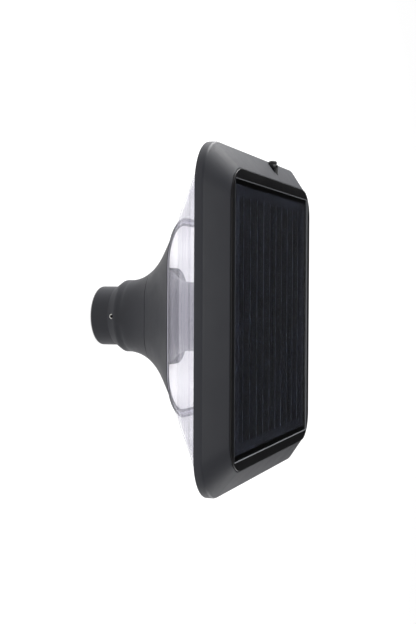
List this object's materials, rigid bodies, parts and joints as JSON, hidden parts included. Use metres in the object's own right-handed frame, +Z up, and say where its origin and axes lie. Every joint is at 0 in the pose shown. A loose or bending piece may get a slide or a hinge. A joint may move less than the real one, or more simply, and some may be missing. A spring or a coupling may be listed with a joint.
{
  "type": "solar post-top light",
  "caption": "Square solar post-top garden light: panel head with sloped border, clear ribbed window, flared bell and a collar that fits over a round pole.",
  "frame": {"origin": "centre of the pole socket's open bottom end, on the socket's axis", "axes": "+Z up along the pole; +Y to the back, the push button is on the -X side; the camera side is -Y"},
  "size_m": [0.36, 0.36, 0.2118],
  "materials": {
    "charcoal_plastic": "fine matt texture",
    "grey_plastic": "satin",
    "white_plastic": "satin",
    "clear_plastic": "lightly frosted polycarbonate",
    "black_rubber": "matt",
    "clear_silicone": "translucent white",
    "board_white": "white solder mask over aluminium",
    "led_lens": "yellow phosphor",
    "screw_steel": "bright",
    "battery_wrap": "shrink sleeve",
    "black_plastic": "satin",
    "board_green": "solder mask",
    "wire_red": "insulation",
    "wire_black": "insulation",
    "wire_white": "insulation",
    "wire_blue": "insulation",
    "sheet_black": "laminate",
    "cell_silicon": "monocrystalline silicon",
    "ribbon_tin": "tinned copper",
    "panel_glass": "low-iron tempered glass"
  },
  "bodies": {
    "lamp": {"pole_socket": "charcoal_plastic", "set_inserts": "screw_steel", "bell": "charcoal_plastic", "column": "grey_plastic", "bowl_reflector": "white_plastic", "diffuser": "clear_plastic", "lower_gasket": "clear_silicone", "upper_gasket": "clear_silicone", "base_plate": "white_plastic", "led_board": "board_white", "leds": "led_lens", "led_screws": "screw_steel", "lead_grommet": "black_rubber", "housing": "charcoal_plastic", "housing_screws": "screw_steel", "column_screws": "screw_steel", "joint_screws": "screw_steel", "battery_cells": "battery_wrap", "battery_holder": "black_plastic", "battery_tabs": "screw_steel", "controller_board": "board_green", "controller_parts": "black_plastic", "board_screws": "screw_steel", "junction_box": "black_plastic", "panel_leads": "wire_red", "battery_leads": "wire_black", "led_leads": "wire_white", "switch_leads": "wire_blue", "panel_tape": "black_rubber", "backsheet": "sheet_black", "edge_seal": "black_rubber", "solar_cells": "cell_silicon", "cell_ribbons": "ribbon_tin", "glass": "panel_glass", "bezel": "black_plastic", "switch_bush": "black_plastic", "switch_seal": "black_rubber", "switch_nut": "screw_steel", "switch_body": "black_plastic"},
    "button": {"button_cap": "black_rubber"}
  },
  "joints": [
    {"name": "button_press", "type": "slide", "parent": "lamp", "child": "button", "axis": [1, 0, 0], "range_m": [0, 0.0025], "stiffness_N_per_m": 800}
  ]
}
